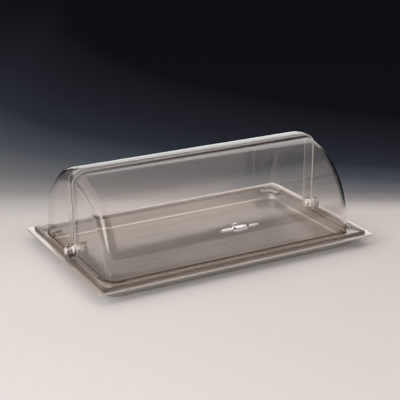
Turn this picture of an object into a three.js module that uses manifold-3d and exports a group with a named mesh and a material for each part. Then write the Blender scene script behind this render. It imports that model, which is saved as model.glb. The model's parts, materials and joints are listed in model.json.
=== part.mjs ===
// A roll-top food display: a shallow steel serving tray, a clear base frame that rests on the
// tray's flange, and a clear half-round hood made of two nested quarter shells. The front shell
// rolls back inside the rear shell about two pivot pins, and the whole cover lifts off the tray.
// Millimetres, +Z up, front at -Y. The origin is on the surface that the tray stands on, below
// the middle of the tray.

import * as THREE from "three";
import { mergeVertices } from "three/addons/utils/BufferGeometryUtils.js";
import Module from "manifold-3d";

const wasm = await Module();
wasm.setup();

// Clearances, and how far a cutting solid runs past what it cuts
const seatGap = 0.3;
const cutOverrun = 2;

// Serving tray, pressed from one sheet
const trayLength = 530;
const trayWidth = 325;
const trayHeight = 23;
const traySheet = 1;
const flangeWidth = 22;
const flangeLipHeight = 2.5;
const flangeCornerRadius = 5;
const flangeEdgeRadius = 0.8;
const wellCornerRadius = 28;
const wellBendRadius = 1.5;
const wellWallDraft = 1.5;
const floorBendRadius = 5;

// Base frame, moulded in clear plastic: how much of the flange shows outside it, and how far
// its bars stop short of the well
const frameEndMargin = 11;
const frameSideMargin = 10;
const frameHeight = 4.5;
const frameSetBack = 1;
const frameCornerRadius = 2.5;
const frameEdgeBevel = 0.5;
const faceRibSpacing = 97.5;
const faceRibWidth = 3.5;
const faceRibDepth = 0.8;
const faceRibHeight = 3;

// Pivot ears on the frame, and the pivot that they carry
const pivotRise = 12.5;
const earRadius = 10.5;
const earThickness = 7;
const earInset = 0.8;
const earFootHeight = 3;
const pinRadius = 3;
const pinHeadRadius = 6.8;
const pinHeadHeight = 3;
const bushRadius = 6.5;
const thrustWasherRadius = 8;
const thrustWasherThickness = 0.8;
const capRadius = 6.4;
const capLength = 7.2;
const capWall = 2.4;

// Hood shells: the gaps at their feet, and how far their edges pass the pivot
const footGap = 3.5;
const footLift = 0.5;
const shellWall = 3;
const rearFilletRadius = 25;
const rearFrontEdge = 4;
const frontBackEdge = 18;
const shellFootRadius = 8;
const shellLugBlend = 14;
const shellLugBlendAngle = 150;

// Corner seats of the frame and the soft buffers on them
const seatThickness = 4.2;
const seatReach = 32;
const seatInnerMargin = 2.4;
const rimMargin = 0.7;
const bufferThickness = 2.2;
const bufferReach = 28;
const bufferInnerMargin = 1.1;
const wellClearance = 1.2;

// Handle on the front shell
const handleAngle = 17;
const handleStandoff = 13;
const gripHalfLength = 15.5;
const gripMiddleRadius = 7.25;
const gripEndRadius = 5.6;
const gripEdgeRadius = 1.2;
const gripEdgeTurn = 70;
const footRadius = 6.6;
const footNeckRadius = 4.7;
const footRimHeight = 1.2;
const barRadius = 3.75;
const barLength = 70;
const barEdgeRadius = 0.9;
const padThickness = 1;
const padRadius = 7;
const screwRadius = 2;
const screwHeadRadius = 4.6;
const screwHeadHeight = 2.6;
const screwReach = 4.8;
const innerWasherRadius = 7.5;
const innerWasherThickness = 1;

// Numbers of flat steps in round forms
const cornerSteps = 8;
const bendSteps = 3;
const revolveSteps = 120;
const filletSteps = 6;
const pinSteps = 24;
const gripSteps = 28;
const outlineSteps = 10;
const mergeTolerance = 1e-4;

// Heights and lengths that follow from the sizes above
const flangeTop = trayHeight;
const frameBottom = flangeTop + seatGap;
const frameTop = frameBottom + frameHeight;
const pivotHeight = flangeTop + pivotRise;
const nestingGap = thrustWasherThickness + 2 * seatGap;
const frameHalfLength = trayLength / 2 - frameEndMargin;
const frameHalfWidth = trayWidth / 2 - frameSideMargin;
const wellHalfLength = trayLength / 2 - flangeWidth;
const wellHalfWidth = trayWidth / 2 - flangeWidth;
const rearHalfLength = wellHalfLength + frameSetBack - footGap;
const rearShellRadius = wellHalfWidth + frameSetBack - footGap;
const frontShellRadius = rearShellRadius - shellWall - nestingGap;
const frontHalfLength = rearHalfLength - shellWall - nestingGap;
const frontFilletRadius = rearFilletRadius - shellWall - nestingGap;
const shellLugRadius = pivotRise - footLift;
const shellBottom = pivotHeight - shellLugRadius;
const shelfTop = shellBottom - 2 * seatGap - bufferThickness;
const shelfBottom = shelfTop - seatThickness;
const boreRadius = pinRadius + seatGap;
const earOuterFace = frameHalfLength - earInset;
const earInnerFace = earOuterFace - earThickness;

// Finishes, shaded flat so that every face of the solids shows
function finish(colour, metalness, roughness, opacity = 1) {
  return new THREE.MeshStandardMaterial({
    color: colour, metalness, roughness, opacity, transparent: opacity < 1, flatShading: true,
  });
}

const steelFinish = finish(0xb9b2a8, 1, 0.32);
const chromeFinish = finish(0xe4e4e6, 1, 0.08);
const nylonFinish = finish(0xe9e7e2, 0, 0.5);
const clearFinish = finish(0xdcdcdc, 0, 0.06, 0.35);
const softFinish = finish(0xe6e4e0, 0, 0.35, 0.7);

// A closed geometry with shared vertices and its faces turned outwards
function closed(geometry) {
  const bare = geometry.clone();
  bare.deleteAttribute("normal");
  bare.deleteAttribute("uv");
  const merged = mergeVertices(bare, mergeTolerance);
  const place = merged.attributes.position;
  const source = merged.index.array;
  const kept = [];
  let volume = 0;
  const corners = [new THREE.Vector3(), new THREE.Vector3(), new THREE.Vector3()];
  for (let face = 0; face < source.length; face += 3) {
    const [a, b, c] = [source[face], source[face + 1], source[face + 2]];
    if (a === b || b === c || c === a) continue;
    kept.push(a, b, c);
    [a, b, c].forEach((vertex, k) => corners[k].fromBufferAttribute(place, vertex));
    volume += corners[0].dot(corners[1].cross(corners[2]));
  }
  if (volume < 0) {
    for (let face = 0; face < kept.length; face += 3) {
      [kept[face], kept[face + 1]] = [kept[face + 1], kept[face]];
    }
  }
  merged.setIndex(kept);
  return merged;
}

function solidOf(geometry) {
  const shape = closed(geometry);
  return new wasm.Manifold(new wasm.Mesh({
    numProp: 3,
    vertProperties: new Float32Array(shape.attributes.position.array),
    triVerts: new Uint32Array(shape.index.array),
  }));
}

function geometryOf(solid) {
  const mesh = solid.getMesh();
  const geometry = new THREE.BufferGeometry();
  geometry.setAttribute("position", new THREE.BufferAttribute(mesh.vertProperties, mesh.numProp));
  geometry.setIndex(new THREE.BufferAttribute(mesh.triVerts, 1));
  return geometry;
}

function piece(name, geometry, material) {
  const mesh = new THREE.Mesh(geometry, material);
  mesh.name = name;
  return mesh;
}

// One level of a rounded rectangle, with the same number of points whatever its size
function ring(halfX, halfY, radius, z) {
  const points = [];
  const quarters = [[1, 1], [-1, 1], [-1, -1], [1, -1]];
  quarters.forEach(([signX, signY], quarter) => {
    for (let step = 0; step <= cornerSteps; step += 1) {
      const angle = (quarter + step / cornerSteps) * (Math.PI / 2);
      const x = signX * (halfX - radius) + radius * Math.cos(angle);
      const y = signY * (halfY - radius) + radius * Math.sin(angle);
      points.push([x, y, z]);
    }
  });
  return points;
}

// A skin through a list of rings: capped at both ends, or joined round to the first ring
function loft(rings, joinsRound) {
  const count = rings[0].length;
  const places = rings.flat();
  const faces = [];
  const bands = joinsRound ? rings.length : rings.length - 1;
  for (let band = 0; band < bands; band += 1) {
    const low = band * count;
    const high = ((band + 1) % rings.length) * count;
    for (let k = 0; k < count; k += 1) {
      const next = (k + 1) % count;
      faces.push(low + k, low + next, high + next);
      faces.push(low + k, high + next, high + k);
    }
  }
  if (!joinsRound) {
    const last = (rings.length - 1) * count;
    const firstCentre = places.length;
    places.push([0, 0, rings[0][0][2]]);
    places.push([0, 0, rings[rings.length - 1][0][2]]);
    for (let k = 0; k < count; k += 1) {
      const next = (k + 1) % count;
      faces.push(firstCentre, next, k);
      faces.push(firstCentre + 1, last + k, last + next);
    }
  }
  const geometry = new THREE.BufferGeometry();
  geometry.setAttribute("position", new THREE.Float32BufferAttribute(places.flat(), 3));
  geometry.setIndex(faces);
  return closed(geometry);
}

// Points of an arc in the plane of a section, from one angle to another in degrees
function arc(centreU, centreV, radius, fromDegrees, toDegrees, steps) {
  const points = [];
  for (let step = 0; step <= steps; step += 1) {
    const angle = THREE.MathUtils.degToRad(fromDegrees + (toDegrees - fromDegrees) * (step / steps));
    points.push([centreU + radius * Math.cos(angle), centreV + radius * Math.sin(angle)]);
  }
  return points;
}

// A profile of [radius, place along the axis] turned about one axis
function turned(profile, steps, axis) {
  const geometry = new THREE.LatheGeometry(profile.map(([r, h]) => new THREE.Vector2(r, h)), steps);
  if (axis === "x") geometry.rotateZ(-Math.PI / 2);
  if (axis === "z") geometry.rotateX(Math.PI / 2);
  return closed(geometry);
}

function rod(radius, from, to, axis, steps) {
  return turned([[0, from], [radius, from], [radius, to], [0, to]], steps, axis);
}

function tube(outerRadius, innerRadius, from, to, axis, steps) {
  const profile = [[innerRadius, from], [outerRadius, from], [outerRadius, to], [innerRadius, to]];
  return turned([...profile, profile[0]], steps, axis);
}

// The profile of a round bar along one axis whose end edges are rounded, turning through a given
// angle in degrees, with the points of its side between them
function roundEndedProfile(halfLength, radius, edgeRadius, edgeTurn, side, steps) {
  const edgeR = radius - edgeRadius;
  const edgeH = halfLength - edgeRadius;
  return [
    [0, -halfLength],
    ...arc(edgeR, -edgeH, edgeRadius, 270, 270 + edgeTurn, steps),
    ...side,
    ...arc(edgeR, edgeH, edgeRadius, 90 - edgeTurn, 90, steps),
    [0, halfLength],
  ];
}

// A shape drawn across the object, with Y to the right and Z up, given a thickness along X
function acrossX(shape, fromX, toX) {
  const geometry = new THREE.ExtrudeGeometry(shape, {
    depth: toX - fromX, bevelEnabled: false, curveSegments: outlineSteps,
  });
  const basis = new THREE.Matrix4().makeBasis(
    new THREE.Vector3(0, 1, 0), new THREE.Vector3(0, 0, 1), new THREE.Vector3(1, 0, 0));
  geometry.applyMatrix4(basis);
  geometry.translate(fromX, 0, 0);
  return closed(geometry);
}

function block(low, high) {
  const size = high.map((value, k) => value - low[k]);
  const geometry = new THREE.BoxGeometry(...size);
  geometry.translate(...low.map((value, k) => value + size[k] / 2));
  return geometry;
}

// Serving tray

// One level of the tray, by its distance in from the flange's outer edge
function trayRing(inset, z) {
  const onRim = inset < flangeWidth / 2;
  const radius = onRim ? flangeCornerRadius - inset : wellCornerRadius + flangeWidth - inset;
  return ring(trayLength / 2 - inset, trayWidth / 2 - inset, radius, z);
}

function servingTray() {
  const topBend = wellBendRadius + traySheet;
  const bendInset = flangeWidth - topBend;
  const bendLevel = trayHeight - topBend;
  const floorInset = flangeWidth + wellWallDraft + floorBendRadius;
  const floorLevel = traySheet + floorBendRadius;
  const rimLevel = trayHeight - flangeEdgeRadius;
  const section = [
    ...arc(floorInset, floorLevel, floorBendRadius, 270, 180, bendSteps),
    ...arc(bendInset, bendLevel, topBend, 0, 90, bendSteps),
    ...arc(flangeEdgeRadius, rimLevel, flangeEdgeRadius, 90, 180, bendSteps),
    [0, trayHeight - flangeLipHeight],
    [traySheet, trayHeight - flangeLipHeight],
    [traySheet, trayHeight - traySheet],
    ...arc(bendInset, bendLevel, wellBendRadius, 90, 0, bendSteps),
    ...arc(floorInset, floorLevel, floorBendRadius + traySheet, 180, 270, bendSteps),
  ];
  return loft(section.map(([inset, z]) => trayRing(inset, z)), false);
}

// Base frame

function roundedRectangle(halfX, halfY, radius, into) {
  into.moveTo(halfX, -halfY + radius);
  into.absarc(halfX - radius, halfY - radius, radius, 0, Math.PI / 2, false);
  into.absarc(-halfX + radius, halfY - radius, radius, Math.PI / 2, Math.PI, false);
  into.absarc(-halfX + radius, -halfY + radius, radius, Math.PI, 1.5 * Math.PI, false);
  into.absarc(halfX - radius, -halfY + radius, radius, 1.5 * Math.PI, 2 * Math.PI, false);
  return into;
}

function frameBars() {
  const openingX = rearHalfLength + footGap;
  const openingY = rearShellRadius + footGap;
  const openingRadius = rearFilletRadius + footGap;
  const outline = roundedRectangle(frameHalfLength, frameHalfWidth, frameCornerRadius, new THREE.Shape());
  outline.holes.push(roundedRectangle(openingX, openingY, openingRadius, new THREE.Path()));
  const geometry = new THREE.ExtrudeGeometry(outline, {
    depth: frameHeight - 2 * frameEdgeBevel,
    bevelThickness: frameEdgeBevel,
    bevelSize: frameEdgeBevel,
    bevelOffset: -frameEdgeBevel,
    bevelSegments: 1,
    curveSegments: cornerSteps,
  });
  geometry.translate(0, 0, frameBottom + frameEdgeBevel);
  return solidOf(geometry);
}

// A band that follows the rear shell's foot, from a section of [distance out from it, height]
function footBand(section) {
  return solidOf(loft(section.map(([out, z]) => (
    ring(rearHalfLength + out, rearShellRadius + out, rearFilletRadius + out, z)
  )), true));
}

// The four corner stretches of a band, each reaching a given length along both sides
function cornerStretches(band, reach) {
  const low = shelfBottom - cutOverrun;
  const high = frameTop + cutOverrun;
  const endX = frameHalfLength;
  const endY = frameHalfWidth;
  const nearX = rearHalfLength - reach;
  const nearY = rearShellRadius - reach;
  const corners = [];
  for (const signX of [-1, 1]) {
    for (const signY of [-1, 1]) {
      const xs = [signX * nearX, signX * endX].sort((a, b) => a - b);
      const ys = [signY * nearY, signY * endY].sort((a, b) => a - b);
      const cutter = solidOf(block([xs[0], ys[0], low], [xs[1], ys[1], high]));
      corners.push({ signX, signY, solid: band.intersect(cutter) });
    }
  }
  return corners;
}

// A corner seat: a rim inside the frame's corner that steps down into the tray's well, and a
// shelf under the foot of the shell
function cornerSeats() {
  const wellOut = footGap - frameSetBack - wellClearance;
  const rimOut = footGap + frameEdgeBevel * 2;
  const faceOut = seatGap;
  const shelfIn = -(2 * shellWall + nestingGap + seatInnerMargin);
  const band = footBand([
    [shelfIn, shelfBottom],
    [wellOut, shelfBottom],
    [wellOut, frameBottom + rimMargin],
    [rimOut, frameBottom + rimMargin],
    [rimOut, frameTop - rimMargin],
    [faceOut, frameTop - rimMargin],
    [faceOut, shelfTop],
    [shelfIn, shelfTop],
  ]);
  return cornerStretches(band, seatReach).map((corner) => corner.solid);
}

function earSolid(side) {
  const outline = new THREE.Shape();
  outline.moveTo(-earRadius, frameTop - earFootHeight);
  outline.lineTo(earRadius, frameTop - earFootHeight);
  outline.lineTo(earRadius, pivotHeight);
  outline.absarc(0, pivotHeight, earRadius, 0, Math.PI, false);
  outline.closePath();
  const faces = [side * earInnerFace, side * earOuterFace].sort((a, b) => a - b);
  return solidOf(acrossX(outline, faces[0], faces[1]));
}

// Two small upright ribs on the front face of the frame, and two on its back face
function faceRibs() {
  const ribs = [];
  for (const signX of [-1, 1]) {
    for (const signY of [-1, 1]) {
      const x = signX * (faceRibSpacing / 2);
      const face = signY * frameHalfWidth;
      const ys = [face - signY * faceRibWidth, face + signY * faceRibDepth].sort((a, b) => a - b);
      ribs.push(solidOf(block(
        [x - faceRibWidth / 2, ys[0], frameBottom + rimMargin],
        [x + faceRibWidth / 2, ys[1], frameBottom + rimMargin + faceRibHeight])));
    }
  }
  return ribs;
}

function pivotBore() {
  const reach = frameHalfLength + cutOverrun;
  const bore = rod(boreRadius, -reach, reach, "x", pinSteps);
  bore.translate(0, 0, pivotHeight);
  return solidOf(bore);
}

function baseFrame() {
  let frame = frameBars();
  for (const addition of [...cornerSeats(), ...faceRibs(), earSolid(-1), earSolid(1)]) {
    frame = frame.add(addition);
  }
  return geometryOf(frame.subtract(pivotBore()));
}

// The soft buffer that lies on each corner seat and takes the foot of the shell
function cornerBuffers() {
  const top = shellBottom - seatGap;
  const outerOut = -seatGap / 2;
  const innerIn = -(2 * shellWall + nestingGap + bufferInnerMargin);
  const band = footBand([
    [innerIn, top - bufferThickness],
    [outerOut, top - bufferThickness],
    [outerOut, top],
    [innerIn, top],
  ]);
  return cornerStretches(band, bufferReach);
}

// Hood shells

// The closed body of revolution that fills a hood, out to a given radius and half length
function domeSolid(radius, halfLength, filletRadius) {
  const profile = roundEndedProfile(halfLength, radius, filletRadius, 90, [], filletSteps);
  const geometry = turned(profile, revolveSteps, "x");
  geometry.translate(0, 0, pivotHeight);
  return solidOf(geometry);
}

function domeWall(radius, halfLength, filletRadius) {
  const outer = domeSolid(radius, halfLength, filletRadius);
  const inner = domeSolid(radius - shellWall, halfLength - shellWall, filletRadius - shellWall);
  return outer.subtract(inner);
}

// The outline that keeps the rear quarter: an upright edge just in front of the pivot, a round
// lug about the pivot and a level foot
function rearOutline() {
  const far = rearShellRadius + cutOverrun;
  const foot = pivotHeight - shellLugRadius;
  const blendAngle = THREE.MathUtils.degToRad(shellLugBlendAngle);
  const blendY = shellLugRadius * Math.cos(blendAngle);
  const blendZ = shellLugRadius * Math.sin(blendAngle);
  const run = (-rearFrontEdge - blendY) / Math.sin(blendAngle);
  const controlZ = blendZ - run * Math.cos(blendAngle);
  const outline = new THREE.Shape();
  outline.moveTo(-rearFrontEdge, pivotHeight + far);
  outline.lineTo(-rearFrontEdge, pivotHeight + controlZ + shellLugBlend);
  outline.quadraticCurveTo(-rearFrontEdge, pivotHeight + controlZ, blendY, pivotHeight + blendZ);
  outline.absarc(0, pivotHeight, shellLugRadius, blendAngle, 1.5 * Math.PI, false);
  outline.lineTo(far, foot);
  outline.lineTo(far, pivotHeight + far);
  outline.closePath();
  return outline;
}

// The outline that keeps the front quarter: an upright edge behind the pivot, with a rounded
// foot, and a level foot
function frontOutline() {
  const far = rearShellRadius + cutOverrun;
  const foot = pivotHeight - shellLugRadius;
  const outline = new THREE.Shape();
  outline.moveTo(-far, foot);
  outline.lineTo(frontBackEdge - shellFootRadius, foot);
  outline.absarc(frontBackEdge - shellFootRadius, foot + shellFootRadius, shellFootRadius,
    1.5 * Math.PI, 2 * Math.PI, false);
  outline.lineTo(frontBackEdge, pivotHeight + far);
  outline.lineTo(-far, pivotHeight + far);
  outline.closePath();
  return outline;
}

function rearHood() {
  const wall = domeWall(rearShellRadius, rearHalfLength, rearFilletRadius);
  const reach = rearHalfLength + cutOverrun;
  const quarter = solidOf(acrossX(rearOutline(), -reach, reach));
  return geometryOf(wall.intersect(quarter).subtract(pivotBore()));
}

// A round hole or piece along the handle's own direction, out from the pivot axis
function alongHandle(geometry) {
  geometry.rotateX(THREE.MathUtils.degToRad(90 - handleAngle));
  geometry.translate(0, 0, pivotHeight);
  return geometry;
}

function frontHood() {
  const wall = domeWall(frontShellRadius, frontHalfLength, frontFilletRadius);
  const reach = frontHalfLength + cutOverrun;
  const quarter = solidOf(acrossX(frontOutline(), -reach, reach));
  const from = frontShellRadius - shellWall - cutOverrun;
  const to = frontShellRadius + cutOverrun;
  const hole = solidOf(alongHandle(rod(screwRadius + 2 * seatGap, from, to, "z", pinSteps)));
  return geometryOf(wall.intersect(quarter).subtract(pivotBore()).subtract(hole));
}

// Pivots, drawn on the right and mirrored to the left

function pivotPiece(profile, side) {
  const sided = profile.map(([r, x]) => [r, side * x]);
  const geometry = turned(sided, pinSteps, "x");
  geometry.translate(0, 0, pivotHeight);
  return geometry;
}

function pivotPin(side) {
  const headFrom = earOuterFace + seatGap;
  const headTo = headFrom + pinHeadHeight;
  const tip = frontHalfLength - shellWall - seatGap - capLength + capWall + seatGap;
  const domeHeight = pinHeadHeight / 2;
  return pivotPiece([
    [0, tip],
    [pinRadius, tip],
    [pinRadius, headFrom],
    [pinHeadRadius, headFrom],
    [pinHeadRadius, headTo - domeHeight],
    [pinHeadRadius - domeHeight / 2, headTo - domeHeight / 2],
    [pinHeadRadius / 2, headTo],
    [0, headTo],
  ], side);
}

function pivotBush(side) {
  const from = rearHalfLength + seatGap;
  const to = earInnerFace - seatGap;
  const profile = [[boreRadius, from], [bushRadius, from], [bushRadius, to], [boreRadius, to]];
  return pivotPiece([...profile, profile[0]], side);
}

function pivotWasher(side) {
  const from = frontHalfLength + seatGap;
  const to = from + thrustWasherThickness;
  const profile = [
    [boreRadius, from], [thrustWasherRadius, from], [thrustWasherRadius, to], [boreRadius, to],
  ];
  return pivotPiece([...profile, profile[0]], side);
}

function pivotCap(side) {
  const mouth = frontHalfLength - shellWall - seatGap;
  const end = mouth - capLength;
  const crown = capRadius / 2;
  return pivotPiece([
    [0, end],
    [capRadius - crown, end],
    [capRadius - crown / 4, end + crown / 4],
    [capRadius, end + crown],
    [capRadius, mouth],
    [boreRadius, mouth],
    [boreRadius, end + capWall],
    [0, end + capWall],
  ], side);
}

// Handle, drawn with its direction away from the shell along Z, then laid on the shell

const barHeight = frontShellRadius + handleStandoff;
const padBottom = frontShellRadius + seatGap;
const footBottom = padBottom + padThickness + seatGap;

function handleGrip() {
  const outline = roundEndedProfile(
    gripHalfLength, gripEndRadius, gripEdgeRadius, gripEdgeTurn, barrelSide(), bendSteps);
  const barrel = turned(outline, gripSteps, "x");
  barrel.translate(0, 0, barHeight);
  const foot = turned([
    [0, footBottom],
    [footRadius, footBottom],
    [footRadius, footBottom + footRimHeight / 2],
    [footNeckRadius, footBottom + footRimHeight],
    [footNeckRadius, barHeight],
    [0, barHeight],
  ], gripSteps, "z");
  const reach = gripHalfLength + cutOverrun;
  const barBore = rod(barRadius + seatGap, -reach, reach, "x", pinSteps);
  barBore.translate(0, 0, barHeight);
  const screwFrom = footBottom - cutOverrun;
  const screwTo = footBottom + screwReach + seatGap;
  const screwBore = rod(screwRadius + seatGap, screwFrom, screwTo, "z", pinSteps);
  const body = solidOf(barrel).add(solidOf(foot));
  const grip = body.subtract(solidOf(barBore)).subtract(solidOf(screwBore));
  return alongHandle(geometryOf(grip));
}

// The swelling side of the grip's barrel, one smooth bow from end to end
function barrelSide() {
  const points = [];
  const reach = gripHalfLength - gripEdgeRadius;
  for (let step = 1; step < outlineSteps; step += 1) {
    const share = step / outlineSteps;
    const swell = (gripMiddleRadius - gripEndRadius) * Math.sin(Math.PI * share);
    points.push([gripEndRadius + swell, -reach + 2 * reach * share]);
  }
  return points;
}

function handleBar() {
  const outline = roundEndedProfile(barLength / 2, barRadius, barEdgeRadius, 90, [], bendSteps);
  const bar = turned(outline, pinSteps, "x");
  bar.translate(0, 0, barHeight);
  return alongHandle(bar);
}

function handlePad() {
  const bore = screwRadius + 2 * seatGap;
  return alongHandle(tube(padRadius, bore, padBottom, padBottom + padThickness, "z", gripSteps));
}

const innerWasherTop = frontShellRadius - shellWall - 1.5 * seatGap;
const innerWasherBottom = innerWasherTop - innerWasherThickness;

function handleWasher() {
  const bore = screwRadius + seatGap;
  const washer = tube(innerWasherRadius, bore, innerWasherBottom, innerWasherTop, "z", gripSteps);
  return alongHandle(washer);
}

function handleScrew() {
  const headTop = innerWasherBottom - seatGap;
  const headBottom = headTop - screwHeadHeight;
  const crown = screwHeadHeight / 2;
  return alongHandle(turned([
    [0, headBottom],
    [screwHeadRadius / 2, headBottom],
    [screwHeadRadius - crown / 3, headBottom + crown / 2],
    [screwHeadRadius, headBottom + crown],
    [screwHeadRadius, headTop],
    [screwRadius, headTop],
    [screwRadius, footBottom + screwReach],
    [0, footBottom + screwReach],
  ], pinSteps, "z"));
}

// Assembly

const group = new THREE.Group();
group.add(piece("serving_tray", servingTray(), steelFinish));
group.add(piece("base_frame", baseFrame(), clearFinish));
group.add(piece("rear_hood", rearHood(), clearFinish));
group.add(piece("front_hood", frontHood(), clearFinish));

for (const corner of cornerBuffers()) {
  const end = corner.signY < 0 ? "front" : "back";
  const side = corner.signX < 0 ? "left" : "right";
  group.add(piece(`corner_buffer_${end}_${side}`, geometryOf(corner.solid), softFinish));
}

for (const [side, label] of [[-1, "left"], [1, "right"]]) {
  group.add(piece(`pivot_pin_${label}`, pivotPin(side), chromeFinish));
  group.add(piece(`pivot_bush_${label}`, pivotBush(side), nylonFinish));
  group.add(piece(`pivot_washer_${label}`, pivotWasher(side), nylonFinish));
  group.add(piece(`pivot_cap_${label}`, pivotCap(side), chromeFinish));
}

group.add(piece("handle_grip", handleGrip(), chromeFinish));
group.add(piece("handle_bar", handleBar(), chromeFinish));
group.add(piece("handle_pad", handlePad(), nylonFinish));
group.add(piece("handle_washer", handleWasher(), nylonFinish));
group.add(piece("handle_screw", handleScrew(), chromeFinish));

export default group;
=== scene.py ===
# %% [markdown]
# # A roll top food display, dressed in Blender
# The object is a shallow steel tray under a clear half-round cover. The cover is two nested
# quarter shells on a clear base frame: the front one carries a chrome handle and rolls back
# inside the rear one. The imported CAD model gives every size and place. This lesson remakes its
# pieces with smooth surfaces, gives each a finish, and lights them as in a small studio.

# %% Load the frame
import json
import math

import bmesh
import bpy
from mathutils import Matrix, Vector


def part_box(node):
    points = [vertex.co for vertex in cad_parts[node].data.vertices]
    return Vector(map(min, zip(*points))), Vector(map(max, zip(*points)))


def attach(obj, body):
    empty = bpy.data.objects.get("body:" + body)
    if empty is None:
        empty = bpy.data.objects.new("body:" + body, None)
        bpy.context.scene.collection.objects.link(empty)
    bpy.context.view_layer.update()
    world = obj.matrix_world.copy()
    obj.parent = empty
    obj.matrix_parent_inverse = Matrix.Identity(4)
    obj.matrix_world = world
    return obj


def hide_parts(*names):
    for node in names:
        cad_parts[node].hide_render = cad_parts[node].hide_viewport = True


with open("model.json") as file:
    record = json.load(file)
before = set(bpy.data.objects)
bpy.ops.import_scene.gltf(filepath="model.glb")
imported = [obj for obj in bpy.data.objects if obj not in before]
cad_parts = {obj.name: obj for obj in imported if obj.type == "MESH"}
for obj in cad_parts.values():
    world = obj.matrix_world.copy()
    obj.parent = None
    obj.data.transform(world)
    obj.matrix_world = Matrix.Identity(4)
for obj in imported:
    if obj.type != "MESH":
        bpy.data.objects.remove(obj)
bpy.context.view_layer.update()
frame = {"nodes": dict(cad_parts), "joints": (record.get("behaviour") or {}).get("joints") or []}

MM = 0.001
SAME_PLACE = 0.001 * MM
PIVOT = next(Vector(joint["pos_m"]) for joint in frame["joints"]
             if joint["name"] == "front_hood_roll")

# %% [markdown]
# ## The camera comes first
# A camera fitted to the four corners of the tray stands to the left of the front and looks a
# little down. A long lens keeps the tray's edges nearly parallel. The shift slides the picture
# on the film instead of tilting the camera, so upright edges stay as they were measured.

# %% Camera
FLANGE_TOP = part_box("serving_tray")[1].z
CAMERA_AZIMUTH = math.radians(-28.82)
CAMERA_ELEVATION = math.radians(21.66)
CAMERA_DISTANCE = 1.8761
camera_back = Vector((
    math.sin(CAMERA_AZIMUTH) * math.cos(CAMERA_ELEVATION),
    -math.cos(CAMERA_AZIMUTH) * math.cos(CAMERA_ELEVATION),
    math.sin(CAMERA_ELEVATION),
))
camera_data = bpy.data.cameras.new("camera")
camera_data.sensor_width = 36
camera_data.lens = 94.46
camera_data.shift_x = 0.0026
camera_data.shift_y = 0.0777
camera = bpy.data.objects.new("camera", camera_data)
camera.location = Vector((0, 0, FLANGE_TOP)) + CAMERA_DISTANCE * camera_back
camera.rotation_euler = camera_back.to_track_quat("Z", "Y").to_euler()
bpy.context.scene.collection.objects.link(camera)
bpy.context.scene.camera = camera
print("camera at", [round(value, 3) for value in camera.location])

# %% [markdown]
# ## Working by hand, in code
# Every operator acts on all that is selected, so one piece alone is picked before each step. A
# few small helpers apply a piece's place or a modifier to its mesh, and shade it smooth. They
# keep each later cell as short as the same work done with the mouse.

# %% Helpers for one piece
def pick(piece):
    """Makes one piece the active one and the only one that is selected."""
    bpy.ops.object.select_all(action="DESELECT")
    bpy.context.view_layer.objects.active = piece
    piece.select_set(True)


def settle(piece):
    """Writes a piece's place, turn and scale into its mesh."""
    pick(piece)
    bpy.ops.object.transform_apply(location=True, rotation=True, scale=True)


def modify(piece, kind, **settings):
    """Adds a modifier with these settings and applies it at once."""
    pick(piece)
    modifier = piece.modifiers.new(kind.lower(), kind)
    for name, value in settings.items():
        setattr(modifier, name, value)
    bpy.ops.object.modifier_apply(modifier=modifier.name)
    return piece


def soften(piece, width, degrees=30):
    """Rounds the edges where faces meet at more than an angle with a narrow bevel."""
    return modify(piece, "BEVEL", width=width, segments=2, limit_method="ANGLE",
                  angle_limit=math.radians(degrees))


def combine(piece, other, operation="UNION"):
    """Joins another closed piece to a closed piece, or cuts it out, and removes the other."""
    modify(piece, "BOOLEAN", operation=operation, object=other, solver="EXACT")
    bpy.data.objects.remove(other)


def smooth(piece, degrees=35):
    """Shades a piece smooth, with sharp edges where its faces meet at more than an angle."""
    pick(piece)
    bpy.ops.object.shade_smooth_by_angle(angle=math.radians(degrees))
    return piece


def report(piece):
    """Prints how many faces a piece has, and its box in millimetres."""
    places = [vertex.co / MM for vertex in piece.data.vertices]
    low = [round(min(place[axis] for place in places), 1) for axis in range(3)]
    high = [round(max(place[axis] for place in places), 1) for axis in range(3)]
    print(piece.name, len(piece.data.polygons), "faces, from", low, "to", high, "mm")


# %% [markdown]
# In edit mode the same holds for a mesh. Its vertices, edges or faces are selected by a test of
# their place, and an extrusion or a cut then acts on them. A bisect through the whole mesh adds
# a clean row of edges, or removes all that lies beyond it.

# %% Helpers for editing a mesh
def start_edit(piece):
    """Goes into edit mode on one piece alone, with nothing of it selected."""
    pick(piece)
    bpy.ops.object.mode_set(mode="EDIT")
    bpy.ops.mesh.select_all(action="DESELECT")


def end_edit():
    bpy.ops.object.mode_set(mode="OBJECT")


def middle(part):
    """The middle of an edge or a face."""
    if hasattr(part, "calc_center_median"):
        return part.calc_center_median()
    return (part.verts[0].co + part.verts[1].co) / 2


def select(kind, test):
    """In edit mode, selects just the vertices, edges or faces that pass a test."""
    bpy.ops.mesh.select_mode(type=kind)
    bpy.ops.mesh.select_all(action="DESELECT")
    mesh = bmesh.from_edit_mesh(bpy.context.object.data)
    parts = {"VERT": mesh.verts, "EDGE": mesh.edges, "FACE": mesh.faces}[kind]
    for part in [part for part in parts if test(part)]:
        part.select_set(True)
    mesh.select_flush_mode()
    bmesh.update_edit_mesh(bpy.context.object.data)


def pull(height):
    """Extrudes what is selected straight up, or down where the height is negative."""
    bpy.ops.mesh.extrude_region_move(TRANSFORM_OT_translate={"value": (0, 0, height)})


def cut(place, normal, **settings):
    """Cuts the whole mesh along a plane.

    With clear_outer, the side that the normal points to is removed.
    """
    bpy.ops.mesh.select_all(action="SELECT")
    bpy.ops.mesh.bisect(plane_co=place, plane_no=normal, **settings)


# %% [markdown]
# ## The serving tray
# The tray is pressed from one steel sheet: a flat flange with a lip turned down all round, a
# bend into the well, a short sloping wall and a flat floor. Its section is written down first,
# as points from the well's mouth down to its floor, with an arc of short steps at each bend.

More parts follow.
